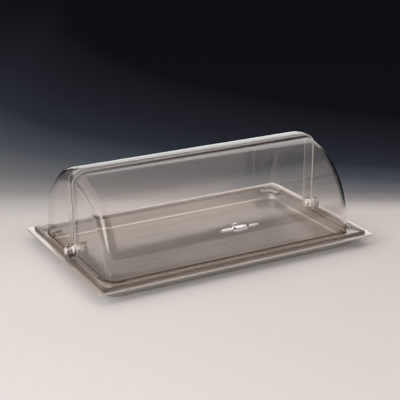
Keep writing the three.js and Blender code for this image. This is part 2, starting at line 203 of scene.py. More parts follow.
# %% The tray's section
tray_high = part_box("serving_tray")[1]
SHEET = 1 * MM
FLANGE_WIDTH = 22 * MM
TOP_BEND = 2.5 * MM
WALL_SLOPE = 1.5 * MM
FLOOR_BEND = 5 * MM
BEND_STEPS = 6


def steps_round(centre, radius, from_degrees, to_degrees):
    """Points of a bend in a section of (distance in from the edge, height)."""
    points = []
    for step in range(BEND_STEPS + 1):
        angle = math.radians(from_degrees + (to_degrees - from_degrees) * step / BEND_STEPS)
        points.append((centre[0] + radius * math.cos(angle),
                       centre[1] + radius * math.sin(angle)))
    return points


bend_start = FLANGE_WIDTH - TOP_BEND
floor_edge = FLANGE_WIDTH + WALL_SLOPE + FLOOR_BEND
section = [
    *steps_round((bend_start, tray_high.z - TOP_BEND), TOP_BEND, 90, 0),
    *steps_round((floor_edge, SHEET + FLOOR_BEND), FLOOR_BEND, 180, 270),
]
print("the tray's section has", len(section), "points")

# %% [markdown]
# Insets suit the well, because each inset of a flat face keeps the rounded corners even while
# it steps inwards and down, as the press does. They start from one flat face with the outline
# of the well's mouth, whose corners are bevelled with the same number of points each.

# %% Press the well
WELL_CORNER = 28 * MM
CORNER_STEPS = 14


def rounded_sheet(name, half_x, half_y, radius, height):
    """A flat rectangle of one face with rounded corners."""
    bpy.ops.mesh.primitive_plane_add(size=2, location=(0, 0, height))
    sheet = bpy.context.object
    sheet.name = name
    sheet.scale = (half_x, half_y, 1)
    settle(sheet)
    start_edit(sheet)
    bpy.ops.mesh.select_all(action="SELECT")
    bpy.ops.mesh.bevel(offset=radius, segments=CORNER_STEPS, affect="VERTICES")
    end_edit()
    return sheet


mouth_corner = WELL_CORNER + TOP_BEND
tray = rounded_sheet("tray_sheet", tray_high.x - bend_start, tray_high.y - bend_start,
                     mouth_corner, tray_high.z)
start_edit(tray)
bpy.ops.mesh.select_all(action="SELECT")
for (inset_before, z_before), (inset_after, z_after) in zip(section, section[1:]):
    step_in = max(inset_after - inset_before, SAME_PLACE)
    bpy.ops.mesh.inset(thickness=step_in, depth=z_after - z_before)
end_edit()
report(tray)

# %% [markdown]
# The flange grows outwards from the mouth's edge. The edge is extruded, and each new point moves
# to the flange's outline in the direction in which it stands on its rounded corner. A second
# extrusion turns the lip down, and a bevel rounds the bend above it. Solidify then gives the
# sheet its thickness, and the whole section stays one sheet thick.

# %% Flange and lip
FLANGE_CORNER = 5 * MM
LIP_HEIGHT = 2.5 * MM
LIP_ROUND = 0.8 * MM
LIP_STEPS = 4
OUTER_SHARE = 0.985
COS_60 = 0.5

mouth_centre = Vector((tray_high.x - bend_start - mouth_corner,
                       tray_high.y - bend_start - mouth_corner))
flange_centre = Vector((tray_high.x - FLANGE_CORNER, tray_high.y - FLANGE_CORNER))
start_edit(tray)
select("EDGE", lambda edge: len(edge.link_faces) == 1)
pull(0)
mesh = bmesh.from_edit_mesh(tray.data)
for vertex in [vertex for vertex in mesh.verts if vertex.select]:
    side_x = math.copysign(1, vertex.co.x)
    side_y = math.copysign(1, vertex.co.y)
    outwards = Vector((vertex.co.x - side_x * mouth_centre.x,
                       vertex.co.y - side_y * mouth_centre.y))
    outwards.normalize()
    vertex.co.x = side_x * flange_centre.x + FLANGE_CORNER * outwards.x
    vertex.co.y = side_y * flange_centre.y + FLANGE_CORNER * outwards.y
bmesh.update_edit_mesh(tray.data)
pull(-LIP_HEIGHT)
rim = tray_high.z - 10 * SAME_PLACE


def is_steep(face):
    """Whether a face slopes by more than 60 degrees, which its normal tells."""
    return abs(face.normal.z) < COS_60


def above_lip(edge):
    """Whether an edge is where the flat flange meets the upright lip.

    It lies at the flange's height, almost as far out as the tray reaches.
    """
    beside_lip = any(is_steep(face) for face in edge.link_faces)
    place = middle(edge)
    share = max(abs(place.x) / tray_high.x, abs(place.y) / tray_high.y)
    return beside_lip and share > OUTER_SHARE and all(end.co.z > rim for end in edge.verts)


select("EDGE", above_lip)
bpy.ops.mesh.bevel(offset=LIP_ROUND, segments=LIP_STEPS, affect="EDGES")
end_edit()
modify(tray, "SOLIDIFY", thickness=SHEET, offset=-1, use_even_offset=True)
tray.name = "tray_pressed"
report(smooth(tray))

# %% [markdown]
# ## Turned pieces
# Pins, caps, bushes, washers and the parts of the handle are all round. Each starts as a flat
# disc that is extruded and resized step by step along its profile, like clay on a wheel, or as
# a flat ring that is pulled up into a tube. They are made upright and then laid in their place.

# %% Helpers for turned pieces
ROUND_STEPS = 48
TUBE_EDGE_ROUND = 0.2 * MM


def disc(name, radius, height):
    """A flat round face at a height, in edit mode and selected."""
    bpy.ops.mesh.primitive_circle_add(vertices=ROUND_STEPS, radius=radius, fill_type="NGON",
                                      location=(0, 0, height))
    piece = bpy.context.object
    piece.name = name
    settle(piece)
    start_edit(piece)
    bpy.ops.mesh.select_all(action="SELECT")
    return piece


def face_outwards():
    """Turns every face outwards and leaves edit mode."""
    bpy.ops.mesh.select_all(action="SELECT")
    bpy.ops.mesh.normals_make_consistent(inside=False)
    end_edit()


def turned(name, profile):
    """A closed round solid about Z, from (radius, height) pairs from the bottom up."""
    radius, height = profile[0]
    piece = disc(name, radius, height)
    for next_radius, next_height in profile[1:]:
        pull(next_height - height)
        grow = next_radius / radius
        bpy.ops.transform.resize(value=(grow, grow, 1), center_override=(0, 0, next_height))
        radius, height = next_radius, next_height
    face_outwards()
    return piece


def tube(name, outer, inner, low, high, edge=TUBE_EDGE_ROUND):
    """A short closed tube about Z with softened rims."""
    piece = disc(name, outer, low)
    bpy.ops.mesh.inset(thickness=outer - inner)
    bpy.ops.mesh.delete(type="FACE")
    bpy.ops.mesh.select_all(action="SELECT")
    pull(high - low)
    face_outwards()
    return soften(piece, edge)


def rounded_end(radius, height, roundness, upwards=True, steps=5):
    """A quarter round of a profile, from the side of a round piece to its flat end."""
    sign = 1 if upwards else -1
    points = []
    for step in range(steps + 1):
        angle = math.pi / 2 * step / steps
        points.append((radius - roundness + roundness * math.cos(angle),
                       height - sign * roundness + sign * roundness * math.sin(angle)))
    return points


def lay(piece, turn, place):
    """Turns an upright piece and moves it, then writes both into its mesh."""
    piece.matrix_world = Matrix.Translation(place) @ turn @ piece.matrix_world
    settle(piece)


# %% [markdown]
# ## The two hood shells
# Both shells are bodies of revolution about the pivot axis, with a soft fillet where the round
# roof meets each flat end. A profile from pivot to roof to pivot is spun all the way round, and
# planes cut away what the quarter does not keep. Cutting a surface and giving it a wall
# afterwards keeps the faces square and even, which clear plastic shows at once.

# %% Spin a hood and give it a wall
SHELL_WALL = 3 * MM
PIVOT_BORE = 3.3 * MM
FOOT_BAND = 2.2 * MM
SHELL_EDGE_ROUND = 0.5 * MM
SPIN_STEPS = 180
FILLET_STEPS = 14


def from_pivot(face):
    """How far the middle of a face is from the pivot axis."""
    place = middle(face)
    return math.hypot(place.y - PIVOT.y, place.z - PIVOT.z)


def spun_dome(name, half_length, radius, fillet, lug):
    """A round skin about the pivot axis that is open only at the bore, in edit mode.

    It has rings of edges at the lug and halfway to the roof.
    """
    bpy.ops.mesh.primitive_plane_add(size=2, rotation=(math.pi / 2, 0, 0),
                                     location=(0, 0, PIVOT.z + radius / 2))
    dome = bpy.context.object
    dome.name = name
    dome.scale = (half_length, radius / 2, 1)
    settle(dome)
    start_edit(dome)
    select("VERT", lambda vertex: vertex.co.z > PIVOT.z + radius / 2)
    bpy.ops.mesh.bevel(offset=fillet, segments=FILLET_STEPS, affect="VERTICES")
    select("EDGE", lambda edge: all(end.co.z < PIVOT.z + SAME_PLACE for end in edge.verts))
    bpy.ops.mesh.delete(type="EDGE")
    for ring in (PIVOT_BORE, lug, radius / 2):
        cut((0, 0, PIVOT.z + ring), (0, 0, 1))
    bpy.ops.mesh.select_all(action="SELECT")
    bpy.ops.mesh.spin(steps=SPIN_STEPS, angle=2 * math.pi, center=PIVOT, axis=(1, 0, 0))
    bpy.ops.mesh.select_all(action="SELECT")
    bpy.ops.mesh.remove_doubles(threshold=SAME_PLACE)
    bpy.ops.mesh.normals_make_consistent(inside=False)
    select("FACE", lambda face: from_pivot(face) < PIVOT_BORE)
    bpy.ops.mesh.delete(type="FACE")
    return dome


def give_wall(dome, foot_top):
    """Thickens the skin inwards and rounds the cut edges a little.

    The cut edges take the piece's second material, and the foot, a narrow band all along the
    bottom, takes its third.
    """
    for number in range(3):
        dome.data.materials.append(None)
    modify(dome, "SOLIDIFY", thickness=SHELL_WALL, offset=-1, use_even_offset=True,
           material_offset_rim=1)
    soften(dome, SHELL_EDGE_ROUND, degrees=50)
    # The foot band takes the third slot, which carries painted shade.
    for face in dome.data.polygons:
        if face.center.z < foot_top:
            face.material_index = 2


# %% [markdown]
# The rear shell is the outer one. It keeps the quarter behind its front edge, and the round lug
# about the pivot, which reaches in front of that edge. One more cut marks the top of its foot,
# which has a finish of its own.

# %% The rear shell
REAR_FILLET = 25 * MM
REAR_FRONT_EDGE = -4 * MM
rear_low, rear_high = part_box("rear_hood")
rear_lug = PIVOT.z - rear_low.z
foot_top = rear_low.z + FOOT_BAND

rear = spun_dome("hood_rear", rear_high.x, rear_high.y, REAR_FILLET, rear_lug)
cut((0, 0, rear_low.z), (0, 0, -1), clear_outer=True)
cut((0, 0, foot_top), (0, 0, 1))
cut((0, REAR_FRONT_EDGE, 0), (0, -1, 0))
select("FACE", lambda face: middle(face).y < REAR_FRONT_EDGE and from_pivot(face) > rear_lug)
bpy.ops.mesh.delete(type="FACE")
end_edit()
give_wall(rear, foot_top)
report(smooth(rear, degrees=40))

# %% [markdown]
# The front shell is the same form, one wall and a small gap further in. It reaches a little
# behind the pivot, and the corner below it is rounded so that it clears the tray as it turns.
# A row of cuts that lean a few degrees further each time rounds that corner. Two cuts beside
# the handle's place narrow the faces in which the hole for its screw is bored.

# %% The front shell
FOOT_ROUND = 8 * MM
ROUND_CUTS = 9
HANDLE_ANGLE = math.radians(17)
SCREW_HOLE = 2.3 * MM
SCREW_ROOM = 9 * MM
front_low, front_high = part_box("front_hood")
front_radius = -front_low.y
front_fillet = REAR_FILLET - (rear_high.x - front_high.x)
lean_out = Matrix.Rotation(math.pi / 2 - HANDLE_ANGLE, 4, "X")

front = spun_dome("hood_front", front_high.x, front_radius, front_fillet, rear_lug)
for side in (-1, 1):
    cut((side * SCREW_ROOM, 0, 0), (1, 0, 0))
cut((0, 0, front_low.z), (0, 0, -1), clear_outer=True)
cut((0, 0, foot_top), (0, 0, 1))
cut((0, front_high.y, 0), (0, 1, 0), clear_outer=True)
round_centre = Vector((0, front_high.y - FOOT_ROUND, front_low.z + FOOT_ROUND))
for turn in range(1, ROUND_CUTS + 1):
    lean = math.radians(90 * turn / (ROUND_CUTS + 1))
    outwards = Vector((0, math.cos(lean), -math.sin(lean)))
    cut(round_centre + FOOT_ROUND * outwards, outwards, clear_outer=True)
end_edit()
give_wall(front, foot_top)

screw_hole = turned("screw_hole", [(SCREW_HOLE, front_radius - 2 * SHELL_WALL),
                                   (SCREW_HOLE, front_radius + SHELL_WALL)])
lay(screw_hole, lean_out, PIVOT)
combine(front, screw_hole, "DIFFERENCE")
report(smooth(front, degrees=40))

# %% [markdown]
# ## The pivots
# Each end has a pin with a domed head outside the frame's ear, a bush between the ear and the
# rear shell, a thin washer between the two shells and a domed cap on the pin's inner end. The
# box of each CAD node gives where the piece starts and ends along X.

# %% Pins, bushes, washers and caps
PIN_RADIUS = 3 * MM
PIN_TIP_ROUND = 0.4 * MM
HEAD_THICKNESS = 3 * MM
HEAD_BACK_BEVEL = 0.3 * MM
HEAD_DOME = 2.4 * MM
CAP_DOME = 3 * MM
CAP_RIM_ROUND = 0.4 * MM
CAP_SOCKET = 4.8 * MM
BUSH_EDGE_ROUND = 0.4 * MM
DOME_STEPS = 8
SIDES = {"left": -1, "right": 1}


def reach(node, label):
    """Where a pivot piece starts and ends on its way out along X, and its radius."""
    low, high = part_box(f"{node}_{label}")
    start, end = sorted((SIDES[label] * low.x, SIDES[label] * high.x))
    return start, end, (high.z - low.z) / 2


pivot_pieces = []
for label, side in SIDES.items():
    start, end, head_radius = reach("pivot_pin", label)
    head_start = end - HEAD_THICKNESS
    pin = turned(f"pin_{label}", [
        *reversed(rounded_end(PIN_RADIUS, start, PIN_TIP_ROUND, upwards=False)),
        (PIN_RADIUS, head_start),
        (head_radius - HEAD_BACK_BEVEL, head_start),
        (head_radius, head_start + HEAD_BACK_BEVEL),
        *rounded_end(head_radius, end, HEAD_DOME, steps=DOME_STEPS),
    ])
    start, end, cap_radius = reach("pivot_cap", label)
    cap = turned(f"cap_{label}", [
        *reversed(rounded_end(cap_radius, start, CAP_DOME, upwards=False, steps=DOME_STEPS)),
        *rounded_end(cap_radius, end, CAP_RIM_ROUND),
        (PIVOT_BORE, end),
        (PIVOT_BORE, end - CAP_SOCKET),
    ])
    start, end, bush_radius = reach("pivot_bush", label)
    bush = tube(f"bush_{label}", bush_radius, PIVOT_BORE, start, end, BUSH_EDGE_ROUND)
    start, end, washer_radius = reach("pivot_washer", label)
    washer = tube(f"thrust_washer_{label}", washer_radius, PIVOT_BORE, start, end)
    for piece, node in ((pin, "pivot_pin"), (cap, "pivot_cap"),
                        (bush, "pivot_bush"), (washer, "pivot_washer")):
        lay(piece, Matrix.Rotation(side * math.pi / 2, 4, "Y"), PIVOT)
        report(smooth(piece))
        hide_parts(f"{node}_{label}")
        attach(piece, "cover")
        pivot_pieces.append(piece)

# %% [markdown]
# ## The handle
# A chrome bar passes through a swelling grip, whose foot stands on the front shell. A screw
# from inside holds it, with a pad outside and a washer inside. It is modelled upright, with its
# way out from the shell along Z, and then leaned to its place on the round front.
#
# The grip swells like part of an ellipse, and each end closes to its face in a rounded nose. Its
# steps crowd together towards the ends, where the outline bends most.

# %% The grip and its foot
HANDLE_STANDOFF = 13 * MM
GRIP_HALF = 15.5 * MM
GRIP_MIDDLE = 7.25 * MM
GRIP_END = 5.6 * MM
GRIP_NOSE = 5 * MM
GRIP_FACE = 4.5 * MM
GRIP_EDGE_ROUND = 0.25 * MM
SWELL_STEPS = 36
FOOT_RADIUS = 6.6 * MM
FOOT_EDGE_ROUND = 0.3 * MM
FOOT_EDGE_STEPS = 3
NECK_RADIUS = 4.7 * MM
FOOT_FLARE = [(FOOT_RADIUS, 0.6 * MM), (5.4 * MM, 1.0 * MM), (NECK_RADIUS, 1.8 * MM)]
BAR_RADIUS = 3.75 * MM
BORE_PAST_GRIP = 5 * MM
PAD_THICKNESS = 1 * MM
SEAT_GAP = 0.3 * MM

bar_height = front_radius + HANDLE_STANDOFF
pad_bottom = front_radius + SEAT_GAP
foot_bottom = pad_bottom + PAD_THICKNESS + SEAT_GAP
along_x = Matrix.Rotation(math.pi / 2, 4, "Y")

swell = []
for step in range(SWELL_STEPS + 1):
    place = -GRIP_HALF * math.cos(math.pi * step / SWELL_STEPS)
    radius = GRIP_END + (GRIP_MIDDLE - GRIP_END) * math.sqrt(1 - (place / GRIP_HALF) ** 2)
    into_nose = max(0, 1 - (GRIP_HALF - abs(place)) / GRIP_NOSE)
    swell.append((GRIP_FACE + (radius - GRIP_FACE) * math.sqrt(1 - into_nose ** 2), place))
grip = turned("grip", swell)
lay(grip, along_x, (0, 0, bar_height))
foot = turned("foot", [
    *reversed(rounded_end(FOOT_RADIUS, foot_bottom, FOOT_EDGE_ROUND, upwards=False,
                          steps=FOOT_EDGE_STEPS)),
    *[(radius, foot_bottom + height) for radius, height in FOOT_FLARE],
    (NECK_RADIUS, bar_height),
])
combine(grip, foot)
bore_radius = BAR_RADIUS + SEAT_GAP
bar_bore = turned("bar_bore", [(bore_radius, -GRIP_HALF - BORE_PAST_GRIP),
                               (bore_radius, GRIP_HALF + BORE_PAST_GRIP)])
lay(bar_bore, along_x, (0, 0, bar_height))
combine(grip, bar_bore, "DIFFERENCE")
soften(grip, GRIP_EDGE_ROUND, degrees=45)
print("grip of", len(grip.data.polygons), "faces, upright for now")

# %% [markdown]
# The bar is one round rod with rounded ends. A shallow dish is turned into each end, so that it
# shows a ring of light instead of one flat patch.

# %% The bar
BAR_HALF = 35 * MM
BAR_END_ROUND = 0.9 * MM
DISH_MOUTH = 2.3 * MM
DISH_BOTTOM = 1.9 * MM
DISH_DEPTH = 0.7 * MM

dish = [(DISH_BOTTOM, BAR_HALF - DISH_DEPTH), (DISH_MOUTH, BAR_HALF)]
bar = turned("bar", [
    *[(radius, -height) for radius, height in dish],
    *reversed(rounded_end(BAR_RADIUS, -BAR_HALF, BAR_END_ROUND, upwards=False)),
    *rounded_end(BAR_RADIUS, BAR_HALF, BAR_END_ROUND),
    *reversed(dish),
])
lay(bar, along_x, (0, 0, bar_height))
report(bar)

# %% [markdown]
# The pad and the washer are short tubes. The screw has a domed head and reaches up through them
# into the grip's foot. All five pieces of the handle then take its lean at once.

# %% Pad, washer and screw
PAD_RADIUS = 7 * MM
PAD_BORE = 2.6 * MM
WASHER_RADIUS = 7.5 * MM
WASHER_BORE = 2.3 * MM
WASHER_THICKNESS = 1 * MM
WASHER_DROP = 1.45 * MM
SCREW_RADIUS = 2 * MM
SCREW_HEAD_RADIUS = 4.6 * MM
SCREW_HEAD_HEIGHT = 2.6 * MM
SCREW_HEAD_DOME = 1.6 * MM
SCREW_REACH = 4.8 * MM

pad = tube("pad", PAD_RADIUS, PAD_BORE, pad_bottom, pad_bottom + PAD_THICKNESS)
washer_low = front_radius - SHELL_WALL - WASHER_DROP
inner_washer = tube("inner_washer", WASHER_RADIUS, WASHER_BORE, washer_low,
                    washer_low + WASHER_THICKNESS)
head_top = washer_low - SEAT_GAP
screw = turned("screw", [
    *reversed(rounded_end(SCREW_HEAD_RADIUS, head_top - SCREW_HEAD_HEIGHT, SCREW_HEAD_DOME,
                          upwards=False, steps=DOME_STEPS)),
    (SCREW_HEAD_RADIUS, head_top),
    (SCREW_RADIUS, head_top),
    (SCREW_RADIUS, foot_bottom + SCREW_REACH),
])
for piece, node in ((grip, "handle_grip"), (bar, "handle_bar"), (pad, "handle_pad"),
                    (inner_washer, "handle_washer"), (screw, "handle_screw")):
    lay(piece, lean_out, PIVOT)
    report(smooth(piece))
    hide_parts(node)
    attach(piece, "front_shell")

# %% [markdown]
# ## The base frame and its buffers
# The clear frame and the soft buffers in its corners have the right shape in the CAD model
# already. A merged copy of each node can be shaded smooth, and a narrow bevel rounds the
# frame's edges, so that they catch a line of light as moulded plastic does. The frame's steep
# faces low down take its second material, the same painted shade as the shells' feet.

# %% Smooth copies of the moulded nodes
FRAME_EDGE_ROUND = 0.4 * MM
PAINTED_SHADE_HEIGHT = 6 * MM
FLAT_WITHIN = math.radians(0.5)


def smooth_copy(node, name):
    """A merged copy of a CAD node under a new name, without its materials."""
    copy = bpy.data.objects.new(name, frame["nodes"][node].data.copy())
    bpy.context.scene.collection.objects.link(copy)
    copy.data.materials.clear()
    start_edit(copy)
    bpy.ops.mesh.select_all(action="SELECT")
    bpy.ops.mesh.remove_doubles(threshold=SAME_PLACE)
    bpy.ops.mesh.dissolve_limited(angle_limit=FLAT_WITHIN)
    end_edit()
    return copy


base = smooth_copy("base_frame", "frame_clear")
soften(base, FRAME_EDGE_ROUND, degrees=40)
for number in range(2):
    base.data.materials.append(None)
# Steep faces low down take the second slot, which carries painted shade.
for face in base.data.polygons:
    low_down = face.center.z < FLANGE_TOP + PAINTED_SHADE_HEIGHT
    face.material_index = 1 if is_steep(face) and low_down else 0
report(smooth(base, degrees=30))
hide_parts("base_frame")
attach(base, "cover")
buffers = []
for end in ("front", "back"):
    for label in SIDES:
        buffer = smooth_copy(f"corner_buffer_{end}_{label}", f"buffer_{end}_{label}")
        report(smooth(buffer, degrees=30))
        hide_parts(f"corner_buffer_{end}_{label}")
        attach(buffer, "cover")
        buffers.append(buffer)

# %% [markdown]
# ## Riding on the bodies
# The object has three bodies: the tray, the cover that lifts off it, and the front shell that
# rolls on the cover's pivots. Each piece stands for one CAD node, which it hides, and rides on
# that node's body. The small pieces ride already, and the three large ones follow.

# %% Ride the large pieces
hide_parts("serving_tray")
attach(tray, "tray")
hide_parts("rear_hood")
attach(rear, "cover")
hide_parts("front_hood")
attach(front, "front_shell")
print("now riding too:", [piece.name for piece in (tray, rear, front)])

# %% [markdown]
# ## Writing shader maths as Python
# A finish is a small graph of nodes. Wrapping a socket in a class whose + - * / and ** add a
# Math node lets the graph be written as a formula.

# %% Wires
class Wire:
    """An output socket that can stand in a Python expression."""

    def __init__(self, finish, socket):
        self.finish = finish
        self.socket = socket

    def maths(self, operation, first, second):
        made = self.finish.node("ShaderNodeMath", {"operation": operation}, {0: first, 1: second})
        return Wire(self.finish, made.outputs[0])

    def __add__(self, other):
        return self.maths("ADD", self, other)

    def __radd__(self, other):
        return self.maths("ADD", other, self)

    def __sub__(self, other):
        return self.maths("SUBTRACT", self, other)

    def __rsub__(self, other):
        return self.maths("SUBTRACT", other, self)

    def __mul__(self, other):
        return self.maths("MULTIPLY", self, other)

    def __rmul__(self, other):
        return self.maths("MULTIPLY", other, self)

    def __truediv__(self, other):
        return self.maths("DIVIDE", self, other)

    def __rtruediv__(self, other):
        return self.maths("DIVIDE", other, self)

    def __pow__(self, other):
        return self.maths("POWER", self, other)

    def __rpow__(self, other):
        return self.maths("POWER", other, self)

    def at_least(self, other):
        return self.maths("MAXIMUM", self, other)


# %% [markdown]
# A finish owns one material. Its node method takes a kind of node, its settings and its values,
# and the shorter methods stand for the nodes that these finishes use most. Every pattern reads
# the object's own coordinates, so it stays on the piece when the piece moves.

# %% Finishes
class Finish:
    """A material that is built node by node."""

    def __init__(self, name):
        self.material = bpy.data.materials.new(name)
        self.material.use_nodes = True
        self.tree = self.material.node_tree
        self.tree.nodes.clear()
        self.place = Wire(self, self.node("ShaderNodeTexCoord").outputs["Object"])

    def node(self, kind, settings=None, values=None):
        """Adds a node: its settings first, then the values or wires of its sockets."""
        made = self.tree.nodes.new(kind)
        for name, value in (settings or {}).items():
            if name == "stops":
                ramp = made.color_ramp.elements
                while len(ramp) < len(value):
                    ramp.new(1)
                for element, (position, colour) in zip(ramp, value):
                    element.position = position
                    element.color = (*colour, 1)
            else:
                setattr(made, name, value)
        for name, value in (values or {}).items():
            if isinstance(value, Wire):
                self.tree.links.new(value.socket, made.inputs[name])
            else:
                made.inputs[name].default_value = value
        return made

    def noise(self, scale, detail=3, roughness=0.5, stretch=(1, 1, 1)):
        """Noise on the object's own coordinates, with about as many lumps to a metre as its scale.

        A stretch under 1 draws it out along that axis.
        """
        mapped = self.node("ShaderNodeMapping", None, {"Vector": self.place, "Scale": stretch})
        made = self.node("ShaderNodeTexNoise", None, {
            "Vector": Wire(self, mapped.outputs[0]), "Scale": scale,
            "Detail": detail, "Roughness": roughness})
        return Wire(self, made.outputs[0])

    def ramp(self, factor, stops):
        """A colour that follows a factor from one (position, colour) stop to the next."""
        made = self.node("ShaderNodeValToRGB", {"stops": stops}, {"Fac": factor})
        return Wire(self, made.outputs[0])

    def bump(self, height, distance, strength):
        """A surface that is raised by a height, given in parts of a distance."""
        made = self.node("ShaderNodeBump", None, {
            "Height": height, "Distance": distance, "Strength": strength})
        return Wire(self, made.outputs[0])

    def principled(self, **values):
        """The main shader. Its sockets are named with _ in place of each space."""
        named = {name.replace("_", " "): value for name, value in values.items()}
        return Wire(self, self.node("ShaderNodeBsdfPrincipled", None, named).outputs[0])

    def result(self, shader):
        """Puts a shader on the surface and gives the finished material."""
        self.node("ShaderNodeOutputMaterial", {"target": "ALL"}, {"Surface": shader})
        print("finish", self.material.name, "has", len(self.tree.nodes), "nodes")
        return self.material


# %% [markdown]
# ## Clear polycarbonate
# The shells and the frame are moulded clear plastic with a trace of warm grey. Its surface is
# glossy, with a faint waviness from the mould and fine wiping marks that blur the gloss a
# little. A glass shader blocks lamps, so rays towards a lamp meet a nearly clear sheet instead,
# and the tray under the cover stays lit. The shells' cut edges are frosted, and their darker
# tint is painted shade. The band at their feet and the frame's low upright faces are darker
# still, with more painted shade.

# %% Clear plastic
PLASTIC_IOR = 1.58
PLASTIC_GLOSS = 0.012
WIPE_BLUR = 0.05
WIPE_FROM = 0.45
WAVE_DEPTH = 0.01 * MM


def clear_plastic(name, tint, shade, frost=0.0, clearness=1.0):
    """Clear plastic with a tint, and the shade that it throws on what lies under it."""
    finish = Finish(name)
    wiping = finish.noise(260, detail=4, roughness=0.6, stretch=(0.25, 1, 1))
    haze = finish.noise(9)
    waves = finish.noise(14, detail=2)
    body = finish.principled(
        Base_Color=(*tint, 1), IOR=PLASTIC_IOR, Transmission_Weight=clearness,
        Roughness=PLASTIC_GLOSS + frost + WIPE_BLUR * ((wiping - WIPE_FROM).at_least(0) * haze),
        Normal=finish.bump(waves, WAVE_DEPTH, 0.6))
    open_sheet = finish.node("ShaderNodeBsdfTransparent", None, {"Color": (*shade, 1)})
    to_lamp = Wire(finish, finish.node("ShaderNodeLightPath").outputs["Is Shadow Ray"])
    mixed = finish.node("ShaderNodeMixShader", None, {
        0: to_lamp, 1: body, 2: Wire(finish, open_sheet.outputs[0])})
    return finish.result(Wire(finish, mixed.outputs[0]))


# The cut edges are frosted, and their darker tint is painted shade.
shell_edge = clear_plastic(
    "shell_edge", (0.76, 0.7, 0.665), (0.88, 0.85, 0.83), frost=0.3, clearness=0.5)
shell_plastic = clear_plastic("shell_plastic", (0.955, 0.935, 0.917), (0.965, 0.96, 0.955))
frame_plastic = clear_plastic("frame_plastic", (0.84, 0.79, 0.75), (0.88, 0.86, 0.84))
# A dark brown tint that paints shade on the shells' feet and the frame's low faces.
dark_edge = clear_plastic(
    "dark_edge", (0.17, 0.125, 0.1), (0.6, 0.55, 0.5), frost=0.12, clearness=0.5)

# %% [markdown]
# ## Satin steel
# The tray is stainless steel with a satin grain. The grain runs along the length of the tray,
# so the noise is drawn out along it, and it varies both the gloss and the height. The colour leans
# a little warm, and broad faint patches keep large faces from looking flat.

# %% Satin steel
STEEL_GLOSS = 0.14
GRAIN_DEPTH = 0.04 * MM

steel = Finish("tray_steel")
grain = steel.noise(1400, detail=4, roughness=0.65, stretch=(0.02, 1, 1))
streaks = steel.noise(260, roughness=0.6, stretch=(0.03, 1, 1))
patches = steel.noise(7)
steel_colour = steel.ramp(patches * 0.4 + streaks * 0.4 + grain * 0.2, [
    (0.35, (0.5, 0.475, 0.45)), (0.65, (0.64, 0.612, 0.585))])
tray_steel = steel.result(steel.principled(
    Base_Color=steel_colour, Metallic=1.0,
    Roughness=STEEL_GLOSS + 0.1 * grain + 0.16 * streaks + 0.08 * patches,
    Normal=steel.bump(0.4 * grain + 0.6 * streaks, GRAIN_DEPTH, 0.6)))

# %% [markdown]
# ## Chrome
# The handle and the pivots' pins and caps are chrome plate. A mirror shows every smear, so one
# noise varies its colour, its gloss and, very faintly, its height. The handle's plate is
# bright, and the pivots' is worn dull.

# %% Chrome
SMEAR_BLUR = 0.06
SMEAR_DEPTH = 0.02 * MM


def chrome(name, gloss, dark, light):
    """Chrome plate between two greys, from a mirror to dull as its gloss value rises."""
    finish = Finish(name)
    smear = finish.noise(60, detail=4, roughness=0.6)
    return finish.result(finish.principled(
        Base_Color=finish.ramp(smear, [(0.3, dark), (0.7, light)]), Metallic=1.0,
        Roughness=gloss + SMEAR_BLUR * smear, Normal=finish.bump(smear, SMEAR_DEPTH, 0.3)))


bright_chrome = chrome("bright_chrome", 0.03, (0.62, 0.62, 0.63), (0.72, 0.72, 0.73))
worn_chrome = chrome("worn_chrome", 0.42, (0.7, 0.68, 0.67), (0.78, 0.76, 0.75))

# %% [markdown]
# ## Nylon and silicone
# The bushes and washers are natural nylon, an off-white plastic with a light mottle and a dull
# gloss. The buffers are soft silicone, which lets most light through but is cloudy.

# %% Nylon and silicone
MOTTLE_DEPTH = 0.05 * MM
SILICONE_IOR = 1.41

nylon = Finish("natural_nylon")
mottle = nylon.noise(220)
pale_nylon = nylon.result(nylon.principled(
    Base_Color=nylon.ramp(mottle, [(0.3, (0.74, 0.73, 0.69)), (0.7, (0.82, 0.81, 0.78))]),
    Roughness=0.38 + 0.14 * mottle, Normal=nylon.bump(mottle, MOTTLE_DEPTH, 0.4)))

silicone = Finish("soft_silicone")
cloud = silicone.noise(160)
clear_silicone = silicone.result(silicone.principled(
    Base_Color=silicone.ramp(cloud, [(0.3, (0.84, 0.83, 0.81)), (0.7, (0.93, 0.92, 0.9))]),
    Roughness=0.24 + 0.14 * cloud, IOR=SILICONE_IOR, Transmission_Weight=0.75))

# %% [markdown]
# ## Putting the finishes on
# A piece has one material slot, or one for each of its finishes, in the order that its faces
# were given numbers.

# %% Put the finishes on
def dress(piece, materials):
    """Fills the piece's material slots, one material for all of them or one for each."""
    for number, material in enumerate(materials):
        if number < len(piece.data.materials):
            piece.data.materials[number] = material
        else:
            piece.data.materials.append(material)
    print(piece.name, "is dressed in", [material.name for material in materials])


dress(tray, [tray_steel])
dress(rear, [shell_plastic, shell_edge, dark_edge])
dress(front, [shell_plastic, shell_edge, dark_edge])
dress(base, [frame_plastic, dark_edge])
for buffer in buffers:
    dress(buffer, [clear_silicone])
for piece in pivot_pieces:
    is_metal = piece.name.startswith(("pin", "cap"))
    dress(piece, [worn_chrome if is_metal else pale_nylon])
for piece in (grip, bar, screw):
    dress(piece, [bright_chrome])
for piece in (pad, inner_washer):
    dress(piece, [pale_nylon])

# %% [markdown]
# ## The studio
# The floor is a wide pale sheet that grows darker far behind the object, as a graded studio
# sheet does, and then curves up into a dark wall. Clear plastic needs something dark behind it
# to be seen. The sheet is turned to face the camera, and its wall is so far back that a camera
# on any side of the object still stands in front of it.

# %% Floor and backdrop
SHEET_HALF_WIDTH = 5.0
SHEET_FRONT = -3.5
SHEET_BACK = 3.0
SHEET_RISE = 1.5
SHEET_BEND = 0.9
SHEET_BEND_STEPS = 24
SHEET_DROP = 0.3 * MM

